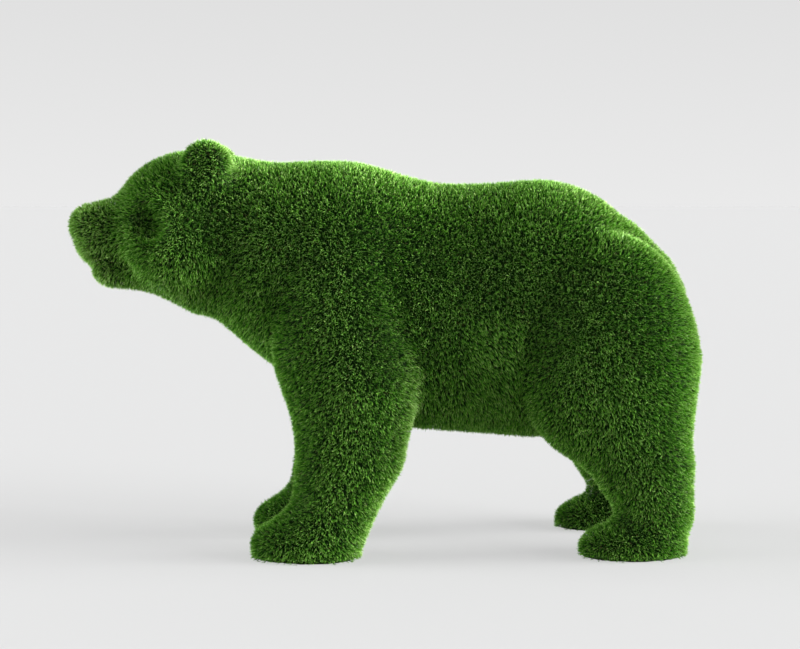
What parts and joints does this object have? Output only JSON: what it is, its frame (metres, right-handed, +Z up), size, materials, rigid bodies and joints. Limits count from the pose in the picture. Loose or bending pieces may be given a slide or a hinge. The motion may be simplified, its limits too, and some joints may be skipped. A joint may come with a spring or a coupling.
{
  "type": "topiary bear",
  "caption": "Life-size standing bear figure clad all over in artificial grass, head held level, for gardens, parks and shop displays.",
  "frame": {"origin": "on the ground, below the middle of the bear's length and width", "axes": "+Z up, the bear faces -Y, +X towards its left side"},
  "size_m": [0.6008, 1.7885, 1.1691],
  "materials": {
    "turf": "matte artificial grass, dense upright pile with light tips over dark roots"
  },
  "bodies": {
    "root": {"bear": "turf"}
  },
  "joints": []
}
